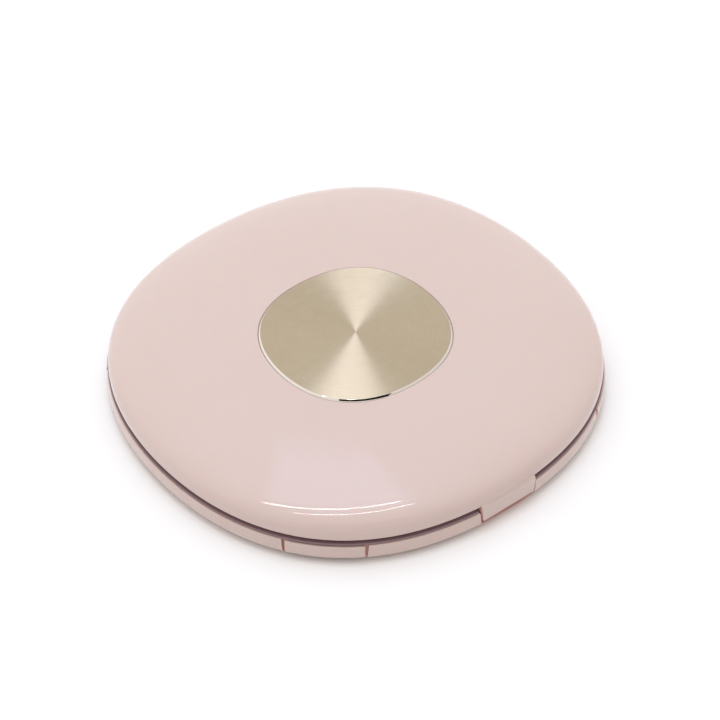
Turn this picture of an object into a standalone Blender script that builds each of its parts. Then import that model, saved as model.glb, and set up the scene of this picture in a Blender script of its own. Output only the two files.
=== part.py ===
"""Pocket wet palette: a slim clamshell case with a domed lid, a hinge at the back (+Y), a push
button at the front (-Y) and a lift-out water tray with sponge, paper and seal inside.

Run it with blender --background --python part.py. The origin is at the bottom centre, +Z is up.
Sizes are in millimetres and become metres where a mesh is made.
"""

import math

import bmesh
import bpy
from mathutils import Matrix, Vector

MM = 0.001
OBJECT_NAME = "wet_palette"
GAP = 0.3  # left between pieces that touch
OVERLAP = 0.3  # how far a joined block runs into what it joins
STEPS = 60  # facets round a turned piece
SHELL_STEPS = 72  # facets round the two outer shells and what fits flush into them
BELOW, ABOVE, BEYOND = -1.0, 7.0, 48.0  # past the whole base, for cutters

# Plan shape: every piece round the centre shares one soft four-sided outline. A plan radius is
# the mean of that outline, and these two waves shape it.
PLAN_OVAL = 0.0095  # a little shorter from hinge to button than across
PLAN_SQUARE = 0.020  # fuller at the four corners

# Lid
LID_RADIUS = 42.45
LID_EDGE_Z = 5.0
LID_RISE = 5.8
LID_WALL = 1.2
DOME_POWER = 3.6  # superellipse: a flat crown that rolls over at the rim
EDGE_ROUND = 0.35
CEILING_RISE = 4.6
RECESS_RADIUS = 16.68
RECESS_Z = 9.5
BOSS_RADIUS = 18.6
BOSS_Z = 8.2
RIB_INNER = 37.3
RIB_OUTER = 37.9
RIB_Z = 6.6

# Medallion let into the crown
MEDALLION_RADIUS = 16.6
MEDALLION_TOP = 11.0
MEDALLION_BOTTOM = 10.05
CHAMFER = 0.3
ADHESIVE_RADIUS = 15.7
ADHESIVE_Z = (9.65, 9.85)

# Mixing plate clipped under the lid
PLATE_RADIUS = 37.0  # pressed into the rib
PLATE_Z = (6.9, 7.9)
WELL_RADIUS = 8.5
WELL_DEPTH = 0.6
WELL_CIRCLE = 22.0
OUTER_WELLS = 4

# Base shell
BASE_Z = 0.3
FLOOR_Z = 1.2
RIM_Z = 3.8
RIM_RADIUS = 42.65
BELLY_RADIUS = 42.85
BELLY_Z = 1.9
WALL_INNER = 41.45
RIM_CHAMFER = 0.2
FLOOR_CHAMFER = 0.6

# Hinge: the lid's tab drops into a notch of the base, and one pin runs through both
HINGE_Y = 40.0
HINGE_Z = 3.2
BARREL_RADIUS = 1.5
PIN_RADIUS = 0.6
PIN_BORE = 0.7
PIN_HALF = 8.2
TAB_FACE_Y = HINGE_Y + BARREL_RADIUS
TAB_BOTTOM_Z = 1.9
TAB_HALF_TOP = 5.7
TAB_HALF_BOTTOM = 5.4
TAB_CHAMFER = 0.2
TAB_SHOULDER = (0.4, 0.5)  # where its face runs into the dome
TAB_ROOT = ((40.2, 6.2), (39.6, 5.6), (39.0, 4.3))  # in Y and Z, buried in the lid's wall
NOTCH_HALF_TOP = 6.05
NOTCH_HALF_BOTTOM = 5.8
NOTCH_FRONT_Y = 37.9
SWEEP_RADIUS = 2.25  # what the tab's lower corner needs as it turns
BOSS_END_X = 9.2
BOSS_Y = (38.0, 40.3)
BOSS_TOP_Z = 3.7

# Inner deck
DECK_INNER = 37.4
DECK_OUTER = 42.55
DECK_Z = (4.0, 4.4)
COLLAR = (40.3, 40.9)
COLLAR_Z = 5.4
SKIRT = (40.2, 41.15)
SKIRT_Z = 2.0
SKIRT_CLEAR_Y = 35.0  # the skirt stops here on its way to the hinge and to the button
BUTTON_CLEAR_X = 7.5
DECK_NOTCH_Y = 38.1
DECK_CHAMFER = 0.15

# Corner clips
CLIP_ANGLE = 44.9  # degrees from the hinge, either side
CLIP_HALF = 8.8  # degrees
CLIP_SLOT_HALF = 9.2  # degrees, at the foot
CLIP_SLOT_FLARE = 0.1  # how much wider each groove gets in a millimetre upwards
WEDGE_FROM = 30.0  # where the wedges that share out a ring start
CLIP_INNER = 42.3
CLIP_OUTER = BELLY_RADIUS
CLIP_SLOT_RADIUS = 42.0
CLIP_TOP_Z = 3.7
CLIP_CHAMFER = 0.15
PEG_WIDTH = 5.0
PEG_Z = (1.9, 3.1)
PEG_REACH = (40.6, 43.5)

# Tray and what lies in it
TRAY_RADIUS = 37.0
TRAY_INNER = 36.2
TRAY_Z = (1.5, 2.3)
TRAY_FLANGE = 38.6
TRAY_FLANGE_Z = (4.7, 5.3)
TRAY_LIP = (36.7, 5.9)
TRAY_CHAMFER = 0.5
SPONGE_RADIUS = 35.7
SPONGE_Z = (2.6, 4.8)
PAPER_RADIUS = 35.8
PAPER_Z = (5.1, 5.3)
SEAL = (37.0, 38.3)
SEAL_Z = (5.5, 6.3)
SEAL_BEAD = (0.3, 0.25)

# Catch and push button
CATCH_HALF = 2.6
CATCH_Y = (-39.7, -39.1)
CATCH_BOTTOM_Z = 1.9
CATCH_ROOT_Z = 7.8
NOSE_Y = -38.6
NOSE_Z = 2.5
CATCH_ROOM = (0.5, 0.9)  # left in the deck beside the catch, and for its nose to pass
BUTTON_HALF = 5.6
BUTTON_FACE_Y = (-41.85, -41.0)
BUTTON_Z = (1.25, 3.6)
BUTTON_OPENING_HALF = 5.95
BUTTON_OPENING_Z = 0.95
ARM_X = (3.3, 4.0)
ARM_Z = (1.7, 3.3)
CROSSBAR_HALF = 5.5
CROSSBAR_Y = (-38.0, -37.3)
LEDGE_Y = -38.45
LEDGE_BOTTOM_Z = 2.7
POST_X = (4.3, 5.8)
POST_Y = (-38.9, -38.3)
POST_TOP_Z = 3.5
SPRING_X = 5.05
SPRING_Z = 2.45
SPRING_COIL = 0.55
SPRING_WIRE = 0.12
SPRING_Y = (-40.75, -39.15)
SPRING_TURNS = 3.5

# Feet
FOOT_RADIUS = 2.6
FOOT_TOP_Z = 0.6
POCKET_RADIUS = 2.8
POCKET_Z = 0.75
FOOT_REACH = 31.0


# ------------------------------------------------------------------ scene and materials


def clear_scene():
    for thing in list(bpy.data.objects):
        bpy.data.objects.remove(thing, do_unlink=True)


def collection(name):
    made = bpy.data.collections.new(name)
    bpy.context.scene.collection.children.link(made)
    return made


def material(name, colour, roughness, metallic=0.0):
    made = bpy.data.materials.new(name)
    made.use_nodes = True
    shader = made.node_tree.nodes["Principled BSDF"]
    shader.inputs["Base Color"].default_value = (*colour, 1.0)
    shader.inputs["Roughness"].default_value = roughness
    shader.inputs["Metallic"].default_value = metallic
    return made


clear_scene()
PARTS = collection(OBJECT_NAME)
CUTTERS = collection("cutters")
ROSE = material("rose_lacquer", (0.62, 0.48, 0.45), 0.22)
ROSE_INSIDE = material("rose_moulding", (0.62, 0.48, 0.45), 0.4)
PLUM = material("plum_moulding", (0.21, 0.125, 0.14), 0.45)
CHAMPAGNE = material("champagne_aluminium", (0.55, 0.47, 0.36), 0.3, 1.0)
TAPE = material("double_sided_tape", (0.75, 0.74, 0.70), 0.7)
WHITE = material("white_plate", (0.86, 0.86, 0.84), 0.25)
STEEL = material("steel", (0.56, 0.56, 0.57), 0.25, 1.0)
SILICONE = material("plum_silicone", (0.16, 0.08, 0.10), 0.6)
SPONGE = material("cellulose_sponge", (0.85, 0.76, 0.45), 0.95)
PAPER = material("palette_paper", (0.88, 0.86, 0.80), 0.6)
RUBBER = material("grey_rubber", (0.25, 0.24, 0.24), 0.8)


# ------------------------------------------------------------------ shape helpers


def place(name, mesh, finish=None):
    """A finished piece goes in the object's collection, and a cutter or a stock in the other."""
    made = bpy.data.objects.new(name, mesh)
    if finish:
        mesh.materials.clear()
        mesh.materials.append(finish)
        PARTS.objects.link(made)
    else:
        CUTTERS.objects.link(made)
        made.hide_render = True
        made.display_type = "WIRE"
    return made


def mesh_of(maker):
    """The evaluated mesh of a helper object, which is then removed."""
    bpy.context.view_layer.update()
    graph = bpy.context.evaluated_depsgraph_get()
    mesh = bpy.data.meshes.new_from_object(maker.evaluated_get(graph))
    mesh.transform(maker.matrix_world)
    bpy.data.objects.remove(maker, do_unlink=True)
    return mesh


def plan_factor(angle):
    """How far the outline lies from its mean circle, by the angle from the hinge direction."""
    return 1.0 - PLAN_OVAL * math.cos(2 * angle) - PLAN_SQUARE * math.cos(4 * angle)


def turned_mesh(profile, steps=STEPS, ring=False):
    """A profile of (plan radius, z) turned about Z, then eased from round to the plan outline."""
    curve = bpy.data.meshes.new("profile")
    points = [(radius * MM, 0.0, z * MM) for radius, z in profile]
    edges = [(i, i + 1) for i in range(len(points) - 1)]
    if ring:
        edges.append((len(points) - 1, 0))
    curve.from_pydata(points, edges, [])
    maker = bpy.data.objects.new("profile", curve)
    CUTTERS.objects.link(maker)
    screw = maker.modifiers.new("turn", "SCREW")
    screw.steps = steps
    screw.render_steps = steps
    screw.use_merge_vertices = True
    screw.merge_threshold = 0.00001
    mesh = mesh_of(maker)
    for vertex in mesh.vertices:
        factor = plan_factor(math.atan2(vertex.co.x, vertex.co.y))
        vertex.co.x *= factor
        vertex.co.y *= factor
    mesh.shade_smooth()
    mesh.set_sharp_from_angle(angle=math.radians(35))
    return mesh


def box_mesh(low, high):
    low, high = Vector(low) * MM, Vector(high) * MM
    builder = bmesh.new()
    bmesh.ops.create_cube(builder, size=1.0)
    bmesh.ops.scale(builder, vec=high - low, verts=builder.verts)
    bmesh.ops.translate(builder, vec=(low + high) / 2, verts=builder.verts)
    return finished(builder)


def rod_mesh(radius, half_length, segments, axis="Z"):
    """A cylinder centred on the origin, along Z or X."""
    builder = bmesh.new()
    turn = Matrix.Rotation(math.pi / 2, 4, "Y") if axis == "X" else Matrix()
    bmesh.ops.create_cone(
        builder,
        cap_ends=True,
        segments=segments,
        radius1=radius * MM,
        radius2=radius * MM,
        depth=2 * half_length * MM,
        matrix=turn,
    )
    mesh = finished(builder)
    mesh.shade_smooth()
    mesh.set_sharp_from_angle(angle=math.radians(35))
    return mesh


def finished(builder):
    mesh = bpy.data.meshes.new("solid")
    bmesh.ops.recalc_face_normals(builder, faces=builder.faces)
    builder.to_mesh(mesh)
    builder.free()
    return mesh


def outline_mesh(outline, half_thickness):
    """A flat outline in X and Y, extruded by half_thickness to either side of Z = 0."""
    curve = bpy.data.curves.new("outline", "CURVE")
    curve.dimensions = "2D"
    curve.fill_mode = "BOTH"
    curve.extrude = half_thickness * MM
    spline = curve.splines.new("POLY")
    spline.points.add(len(outline) - 1)
    for point, (x, y) in zip(spline.points, outline):
        point.co = (x * MM, y * MM, 0.0, 1.0)
    spline.use_cyclic_u = True
    maker = bpy.data.objects.new("outline", curve)
    CUTTERS.objects.link(maker)
    mesh = mesh_of(maker)
    builder = bmesh.new()
    builder.from_mesh(mesh)
    bmesh.ops.remove_doubles(builder, verts=builder.verts, dist=1e-6)
    return finished(builder)


def boolean(target, operation, tool):
    change = target.modifiers.new(tool.name, "BOOLEAN")
    change.operation = operation
    change.object = tool


def cut(target, name, mesh, location=(0, 0, 0), turn=0.0):
    tool = place(name, mesh)
    tool.location = Vector(location) * MM
    tool.rotation_euler.z = turn
    boolean(target, "DIFFERENCE", tool)


def join(target, name, mesh, location=(0, 0, 0), turn=0.0):
    tool = place(name, mesh)
    tool.location = Vector(location) * MM
    tool.rotation_euler.z = turn
    boolean(target, "UNION", tool)


def sides():
    return (("left", -1), ("right", 1))


def corners():
    """The four corners, by name and by angle from the hinge direction."""
    return (
        ("rear_right", math.radians(CLIP_ANGLE)),
        ("front_right", math.radians(180 - CLIP_ANGLE)),
        ("front_left", math.radians(180 + CLIP_ANGLE)),
        ("rear_left", math.radians(-CLIP_ANGLE)),
    )


def sector_mesh(half_angle, flare=0.0):
    """A wedge about the +Y direction, used to take one corner's share of a ring.

    Its half width grows by flare for each millimetre above the base's foot.
    """
    near, far = WEDGE_FROM, BEYOND
    outline = [(-1.0, near), (1.0, near), (1.0, far), (-1.0, far)]
    mesh = outline_mesh(outline, (ABOVE - BELOW) / 2)
    mesh.transform(Matrix.Translation((0, 0, (ABOVE + BELOW) / 2 * MM)))
    slope = math.tan(math.radians(half_angle))
    for vertex in mesh.vertices:
        half = vertex.co.y * slope + flare * (vertex.co.z - BASE_Z * MM)
        vertex.co.x = math.copysign(half, vertex.co.x)
    return mesh


# ------------------------------------------------------------------ lid


def dome(radius, rise, plan_radius):
    """Height above the lid's edge of the domed surface that meets the edge at radius."""
    return rise * (1.0 - (plan_radius / radius) ** DOME_POWER) ** (1.0 / DOME_POWER)


def dome_points(radius, rise, innermost, count):
    """Points of a dome from its rim up to the innermost plan radius, close together at the rim."""
    last = math.acos((innermost / radius) ** (DOME_POWER / 2))
    points = []
    for step in range(1, count + 1):
        angle = last * (step / count) ** 1.4
        plan = radius * math.cos(angle) ** (2 / DOME_POWER)
        points.append((plan, LID_EDGE_Z + dome(radius, rise, plan)))
    return points


def lid_profile():
    inner_radius = LID_RADIUS - LID_WALL
    outer = dome_points(LID_RADIUS, LID_RISE, RECESS_RADIUS, 12)[::-1]
    ceiling = dome_points(inner_radius, CEILING_RISE, BOSS_RADIUS, 7)
    before_rib = [point for point in ceiling if point[0] > RIB_OUTER + GAP]
    after_rib = [point for point in ceiling if point[0] < RIB_INNER - GAP]
    rib = [
        (RIB_OUTER, LID_EDGE_Z + dome(inner_radius, CEILING_RISE, RIB_OUTER)),
        (RIB_OUTER, RIB_Z),
        (RIB_INNER, RIB_Z),
        (RIB_INNER, LID_EDGE_Z + dome(inner_radius, CEILING_RISE, RIB_INNER)),
    ]
    edge = [
        (LID_RADIUS, LID_EDGE_Z + EDGE_ROUND),
        (LID_RADIUS - 0.3 * EDGE_ROUND, LID_EDGE_Z + 0.3 * EDGE_ROUND),
        (LID_RADIUS - EDGE_ROUND, LID_EDGE_Z),
        (inner_radius, LID_EDGE_Z),
    ]
    recess = [(0.0, RECESS_Z), (RECESS_RADIUS, RECESS_Z)]
    boss = [(BOSS_RADIUS, BOSS_Z), (0.0, BOSS_Z)]
    return recess + outer + edge + before_rib + rib + after_rib + boss


def tab_mesh():
    """The flat-faced tab at the hinge, as a side view in Y and Z drawn out along X."""
    side_view = [
        (TAB_FACE_Y, TAB_BOTTOM_Z + TAB_CHAMFER),
        (TAB_FACE_Y, LID_EDGE_Z),
        (TAB_FACE_Y - TAB_SHOULDER[0], LID_EDGE_Z + TAB_SHOULDER[1]),
        *TAB_ROOT,
        (HINGE_Y, HINGE_Z),
        (HINGE_Y + TAB_CHAMFER, TAB_BOTTOM_Z),
        (TAB_FACE_Y - TAB_CHAMFER, TAB_BOTTOM_Z),
    ]
    mesh = outline_mesh(side_view, 1.0)
    for vertex in mesh.vertices:
        y, z, side = vertex.co.x, vertex.co.y, math.copysign(1.0, vertex.co.z)
        vertex.co = (side * tab_half(z / MM) * MM, y, z)
    return outward(mesh)


def tab_half(z):
    share = (z - TAB_BOTTOM_Z) / (LID_EDGE_Z - TAB_BOTTOM_Z)
    return TAB_HALF_BOTTOM + (TAB_HALF_TOP - TAB_HALF_BOTTOM) * min(share, 1.0)


def outward(mesh):
    builder = bmesh.new()
    builder.from_mesh(mesh)
    return finished(builder)


def make_lid_shell():
    lid = place("lid_shell", turned_mesh(lid_profile(), SHELL_STEPS), ROSE)
    axis = (0, HINGE_Y, HINGE_Z)
    join(lid, "lid_tab", tab_mesh())
    join(lid, "lid_barrel", rod_mesh(BARREL_RADIUS, TAB_HALF_BOTTOM, 32, "X"), axis)
    low, high = CATCH_Y
    stem = box_mesh((-CATCH_HALF, low, CATCH_BOTTOM_Z), (CATCH_HALF, high, CATCH_ROOT_Z))
    nose = box_mesh((-CATCH_HALF, high - OVERLAP, CATCH_BOTTOM_Z), (CATCH_HALF, NOSE_Y, NOSE_Z))
    join(lid, "catch_stem", stem)
    join(lid, "catch_nose", nose)
    cut(lid, "lid_pin_bore", rod_mesh(PIN_BORE, 2 * TAB_HALF_BOTTOM, 20, "X"), axis)
    return lid


def make_medallion():
    profile = [
        (0.0, MEDALLION_TOP),
        (MEDALLION_RADIUS - CHAMFER, MEDALLION_TOP),
        (MEDALLION_RADIUS, MEDALLION_TOP - CHAMFER),
        (MEDALLION_RADIUS, MEDALLION_BOTTOM),
        (0.0, MEDALLION_BOTTOM),
    ]
    return place("medallion", turned_mesh(profile, SHELL_STEPS), CHAMPAGNE)


def plate_profile(radius, low, high, bevel=0.0):
    """A flat plate with its upper and lower edges taken off by bevel."""
    points = [(0.0, high), (radius - bevel, high), (radius, high - bevel)]
    points += [(radius, low + bevel), (radius - bevel, low), (0.0, low)]
    return points if bevel else [points[i] for i in (0, 1, 4, 5)]


def make_plate(name, radius, levels, finish, bevel=0.0):
    return place(name, turned_mesh(plate_profile(radius, *levels, bevel)), finish)


def make_mixing_plate():
    plate = make_plate("mixing_plate", PLATE_RADIUS, PLATE_Z, WHITE, 0.25)
    spots = [(0.0, 0.0)]
    for index in range(OUTER_WELLS):
        angle = math.radians(45) + index * 2 * math.pi / OUTER_WELLS
        spots.append((WELL_CIRCLE * math.sin(angle), WELL_CIRCLE * math.cos(angle)))
    for index, (x, y) in enumerate(spots):
        builder = bmesh.new()
        bmesh.ops.create_uvsphere(builder, u_segments=24, v_segments=6, radius=WELL_RADIUS * MM)
        bmesh.ops.scale(builder, vec=(1, 1, WELL_DEPTH / WELL_RADIUS), verts=builder.verts)
        cut(plate, f"well_{index}", finished(builder), (x, y, PLATE_Z[0]))
    return plate


# ------------------------------------------------------------------ base


def belly_arc(radius, innermost, count):
    """Points of the rounded lower edge of a wall whose widest plan radius is radius.

    It runs from the widest point down and in, as far as the innermost plan radius.
    """
    round_radius = BELLY_Z - BASE_Z
    centre = radius - round_radius
    last = math.acos(max(innermost - centre, 0.0) / round_radius)
    points = []
    for step in range(count):
        angle = last * step / (count - 1)
        out, down = round_radius * math.cos(angle), round_radius * math.sin(angle)
        points.append((centre + out, BELLY_Z - down))
    return points


def base_profile():
    inside = [(0.0, FLOOR_Z), (WALL_INNER - FLOOR_CHAMFER, FLOOR_Z)]
    inside += [(WALL_INNER, FLOOR_Z + FLOOR_CHAMFER)]
    rim = [(WALL_INNER, RIM_Z), (RIM_RADIUS - RIM_CHAMFER, RIM_Z), (RIM_RADIUS, RIM_Z - RIM_CHAMFER)]
    outside = belly_arc(BELLY_RADIUS, 0.0, 5)
    return inside + rim + outside + [(0.0, BASE_Z)]


def notch_mesh():
    """The hinge notch as seen from behind, a little narrower at its foot."""
    view = [
        (-NOTCH_HALF_BOTTOM, FLOOR_Z),
        (NOTCH_HALF_BOTTOM, FLOOR_Z),
        (NOTCH_HALF_TOP, RIM_Z),
        (NOTCH_HALF_TOP, ABOVE),
        (-NOTCH_HALF_TOP, ABOVE),
        (-NOTCH_HALF_TOP, RIM_Z),
    ]
    mesh = outline_mesh(view, (BEYOND - NOTCH_FRONT_Y) / 2)
    mesh.transform(Matrix.Rotation(math.pi / 2, 4, "X"))
    mesh.transform(Matrix.Translation((0, (BEYOND + NOTCH_FRONT_Y) / 2 * MM, 0)))
    return mesh


def peg_box(width, levels, reach):
    """A block through the wall about the +Y direction."""
    return box_mesh((-width / 2, reach[0], levels[0]), (width / 2, reach[1], levels[1]))


def window_mesh():
    levels = (PEG_Z[0] - GAP, PEG_Z[1] + GAP)
    return peg_box(PEG_WIDTH + 2 * GAP, levels, (PEG_REACH[0] - 1, PEG_REACH[1]))


def make_base_shell():
    base = place("base_shell", turned_mesh(base_profile(), SHELL_STEPS), ROSE)
    for side, sign in sides():
        near, far = sorted((sign * (NOTCH_HALF_BOTTOM - OVERLAP), sign * BOSS_END_X))
        low, high = (near, BOSS_Y[0], FLOOR_Z - OVERLAP), (far, BOSS_Y[1], BOSS_TOP_Z)
        join(base, f"hinge_boss_{side}", box_mesh(low, high))
        near, far = sorted((sign * POST_X[0], sign * POST_X[1]))
        low, high = (near, POST_Y[0], FLOOR_Z - OVERLAP), (far, POST_Y[1], POST_TOP_Z)
        join(base, f"spring_post_{side}", box_mesh(low, high))
    cut(base, "hinge_notch", notch_mesh())
    axis = (0, HINGE_Y, HINGE_Z)
    cut(base, "tab_sweep", rod_mesh(SWEEP_RADIUS, NOTCH_HALF_BOTTOM, 40, "X"), axis)
    cut(base, "base_pin_bore", rod_mesh(PIN_BORE, PIN_HALF + GAP, 20, "X"), axis)
    opening = BUTTON_OPENING_HALF
    low, high = (-opening, -BEYOND, BUTTON_OPENING_Z), (opening, POST_Y[0] - GAP, ABOVE)
    cut(base, "button_opening", box_mesh(low, high))
    for name, angle in corners():
        slot = place(f"clip_slot_{name}", slot_ring())
        sector = place(f"clip_share_{name}", sector_mesh(CLIP_SLOT_HALF, CLIP_SLOT_FLARE))
        sector.rotation_euler.z = -angle
        boolean(slot, "INTERSECT", sector)
        boolean(base, "DIFFERENCE", slot)
        cut(base, f"peg_window_{name}", window_mesh(), turn=-angle)
        x, y = foot_spot(angle)
        cut(base, f"foot_pocket_{name}", rod_mesh(POCKET_RADIUS, POCKET_Z, 32), (x, y, 0))
    return base


def slot_ring():
    """A ring that takes the outer part of the wall away where a clip sits."""
    inner, outer = CLIP_SLOT_RADIUS, BEYOND
    profile = [(inner, ABOVE), (outer, ABOVE), (outer, BELOW), (inner, BELOW)]
    return turned_mesh(profile, SHELL_STEPS, ring=True)


def foot_spot(angle):
    return FOOT_REACH * math.sin(angle), FOOT_REACH * math.cos(angle)


def make_inner_deck():
    profile = [
        (DECK_INNER, DECK_Z[1]),
        (COLLAR[0], DECK_Z[1]),
        (COLLAR[0], COLLAR_Z),
        (COLLAR[1], COLLAR_Z),
        (COLLAR[1], DECK_Z[1]),
        (DECK_OUTER - DECK_CHAMFER, DECK_Z[1]),
        (DECK_OUTER, DECK_Z[1] - DECK_CHAMFER),
        (DECK_OUTER, DECK_Z[0]),
        (SKIRT[1], DECK_Z[0]),
        (SKIRT[1], SKIRT_Z),
        (SKIRT[0], SKIRT_Z),
        (SKIRT[0], DECK_Z[0]),
        (DECK_INNER, DECK_Z[0]),
    ]
    deck = place("inner_deck", turned_mesh(profile, ring=True), PLUM)
    notch = NOTCH_HALF_TOP + GAP
    cut(deck, "deck_hinge_notch", box_mesh((-notch, DECK_NOTCH_Y, BELOW), (notch, BEYOND, ABOVE)))
    clear = BOSS_END_X + GAP
    low, high = (-clear, SKIRT_CLEAR_Y, BELOW), (clear, BEYOND, DECK_Z[0])
    cut(deck, "skirt_hinge_gap", box_mesh(low, high))
    slot = CATCH_HALF + CATCH_ROOM[0]
    low, high = (-slot, CATCH_Y[0] - GAP, BELOW), (slot, CATCH_Y[1] + CATCH_ROOM[1], ABOVE)
    cut(deck, "deck_catch_slot", box_mesh(low, high))
    low, high = (-BUTTON_CLEAR_X, -BEYOND, BELOW), (BUTTON_CLEAR_X, -SKIRT_CLEAR_Y, DECK_Z[0])
    cut(deck, "skirt_button_gap", box_mesh(low, high))
    for name, angle in corners():
        cut(deck, f"deck_window_{name}", window_mesh(), turn=-angle)
    return deck


def make_corner_clip(name, angle):
    profile = [(CLIP_INNER, CLIP_TOP_Z), (CLIP_OUTER - CLIP_CHAMFER, CLIP_TOP_Z)]
    profile += [(CLIP_OUTER, CLIP_TOP_Z - CLIP_CHAMFER)] + belly_arc(CLIP_OUTER, CLIP_INNER, 4)
    clip = place(f"corner_clip_{name}", turned_mesh(profile, 2 * SHELL_STEPS, ring=True), ROSE)
    share = place(f"clip_sector_{name}", sector_mesh(CLIP_HALF))
    share.rotation_euler.z = -angle
    boolean(clip, "INTERSECT", share)
    join(clip, f"clip_peg_{name}", peg_box(PEG_WIDTH, PEG_Z, PEG_REACH), turn=-angle)
    return clip


def make_water_tray():
    lip_radius, lip_z = TRAY_LIP
    profile = [
        (0.0, TRAY_Z[1]),
        (TRAY_INNER - TRAY_CHAMFER, TRAY_Z[1]),
        (TRAY_INNER, TRAY_Z[1] + TRAY_CHAMFER),
        (TRAY_INNER, lip_z),
        (lip_radius, lip_z),
        (lip_radius, TRAY_FLANGE_Z[1]),
        (TRAY_FLANGE, TRAY_FLANGE_Z[1]),
        (TRAY_FLANGE, TRAY_FLANGE_Z[0]),
        (TRAY_RADIUS, TRAY_FLANGE_Z[0]),
        (TRAY_RADIUS, TRAY_Z[0] + TRAY_CHAMFER),
        (TRAY_RADIUS - TRAY_CHAMFER, TRAY_Z[0]),
        (0.0, TRAY_Z[0]),
    ]
    return place("water_tray", turned_mesh(profile), ROSE_INSIDE)


def make_seal_ring():
    low, high = SEAL_Z
    inner, outer = SEAL
    across, down = SEAL_BEAD
    profile = [
        (inner, high - down),
        (inner + across, high),
        (outer - across, high),
        (outer, high - down),
        (outer, low),
        (inner, low),
    ]
    return place("seal_ring", turned_mesh(profile, ring=True), SILICONE)


def make_hinge_pin():
    pin = place("hinge_pin", rod_mesh(PIN_RADIUS, PIN_HALF, 20, "X"), STEEL)
    pin.location = Vector((0, HINGE_Y, HINGE_Z)) * MM
    return pin


def make_feet():
    for name, angle in corners():
        x, y = foot_spot(angle)
        foot = place(f"foot_{name}", rod_mesh(FOOT_RADIUS, FOOT_TOP_Z / 2, 32), RUBBER)
        foot.location = Vector((x, y, FOOT_TOP_Z / 2)) * MM


# ------------------------------------------------------------------ push button


def make_push_button():
    low = (-BUTTON_HALF, BUTTON_FACE_Y[0], BUTTON_Z[0])
    high = (BUTTON_HALF, BUTTON_FACE_Y[1], BUTTON_Z[1])
    button = place("push_button", box_mesh(low, high), ROSE)
    round_edges = button.modifiers.new("rounded_face", "BEVEL")
    round_edges.width = 0.15 * MM
    round_edges.segments = 2
    for side, sign in sides():
        near, far = sorted((sign * ARM_X[0], sign * ARM_X[1]))
        low = (near, BUTTON_FACE_Y[1] - OVERLAP, ARM_Z[0])
        high = (far, CROSSBAR_Y[0] + OVERLAP, ARM_Z[1])
        join(button, f"button_arm_{side}", box_mesh(low, high))
    low = (-CROSSBAR_HALF, CROSSBAR_Y[0], ARM_Z[0])
    high = (CROSSBAR_HALF, CROSSBAR_Y[1], ARM_Z[1])
    join(button, "button_crossbar", box_mesh(low, high))
    ledge_half = ARM_X[0] + OVERLAP
    low = (-ledge_half, LEDGE_Y, LEDGE_BOTTOM_Z)
    high = (ledge_half, CROSSBAR_Y[0] + OVERLAP, ARM_Z[1])
    join(button, "button_ledge", box_mesh(low, high))
    return button


def make_button_spring(side, sign):
    """A short compression coil along Y between the button's face and its post."""
    curve = bpy.data.curves.new(f"button_spring_{side}", "CURVE")
    curve.dimensions = "3D"
    curve.bevel_depth = SPRING_WIRE * MM
    curve.bevel_resolution = 1
    curve.use_fill_caps = True
    spline = curve.splines.new("POLY")
    count = int(SPRING_TURNS * 10)
    spline.points.add(count)
    length = SPRING_Y[1] - SPRING_Y[0] - 2 * SPRING_WIRE
    for index, point in enumerate(spline.points):
        angle = 2 * math.pi * SPRING_TURNS * index / count
        x, z = SPRING_COIL * math.cos(angle), SPRING_COIL * math.sin(angle)
        y = length * (index / count - 0.5)
        point.co = (x * MM, y * MM, z * MM, 1.0)
    spring = bpy.data.objects.new(f"button_spring_{side}", curve)
    curve.materials.append(STEEL)
    PARTS.objects.link(spring)
    middle = sum(SPRING_Y) / 2
    spring.location = Vector((sign * SPRING_X, middle, SPRING_Z)) * MM
    return spring


# ------------------------------------------------------------------ assembly


def carrier(name, location, pieces):
    """An empty on a joint's axis that carries the pieces which move with it."""
    empty = bpy.data.objects.new(name, None)
    empty.empty_display_size = 5 * MM
    empty.location = Vector(location) * MM
    PARTS.objects.link(empty)
    for piece in pieces:
        piece.parent = empty
        piece.matrix_parent_inverse = Matrix.Translation(-empty.location)


def main():
    lid_pieces = [
        make_lid_shell(),
        make_medallion(),
        make_plate("medallion_adhesive", ADHESIVE_RADIUS, ADHESIVE_Z, TAPE),
        make_mixing_plate(),
    ]
    carrier("lid_hinge_axis", (0, HINGE_Y, HINGE_Z), lid_pieces)
    make_base_shell()
    make_inner_deck()
    for name, angle in corners():
        make_corner_clip(name, angle)
    make_water_tray()
    make_plate("sponge", SPONGE_RADIUS, SPONGE_Z, SPONGE, 0.3)
    make_plate("palette_paper", PAPER_RADIUS, PAPER_Z, PAPER)
    make_seal_ring()
    make_hinge_pin()
    make_feet()
    carrier("button_slide_axis", (0, BUTTON_FACE_Y[1], SPRING_Z), [make_push_button()])
    for side, sign in sides():
        make_button_spring(side, sign)


main()
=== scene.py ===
"""Looks of the pocket wet palette: fine meshes, materials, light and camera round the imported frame.

Shapes are worked out in millimetres and become metres where a mesh is made.
"""

import math

import bmesh
import bpy
from mathutils import Matrix, Vector, noise


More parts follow.
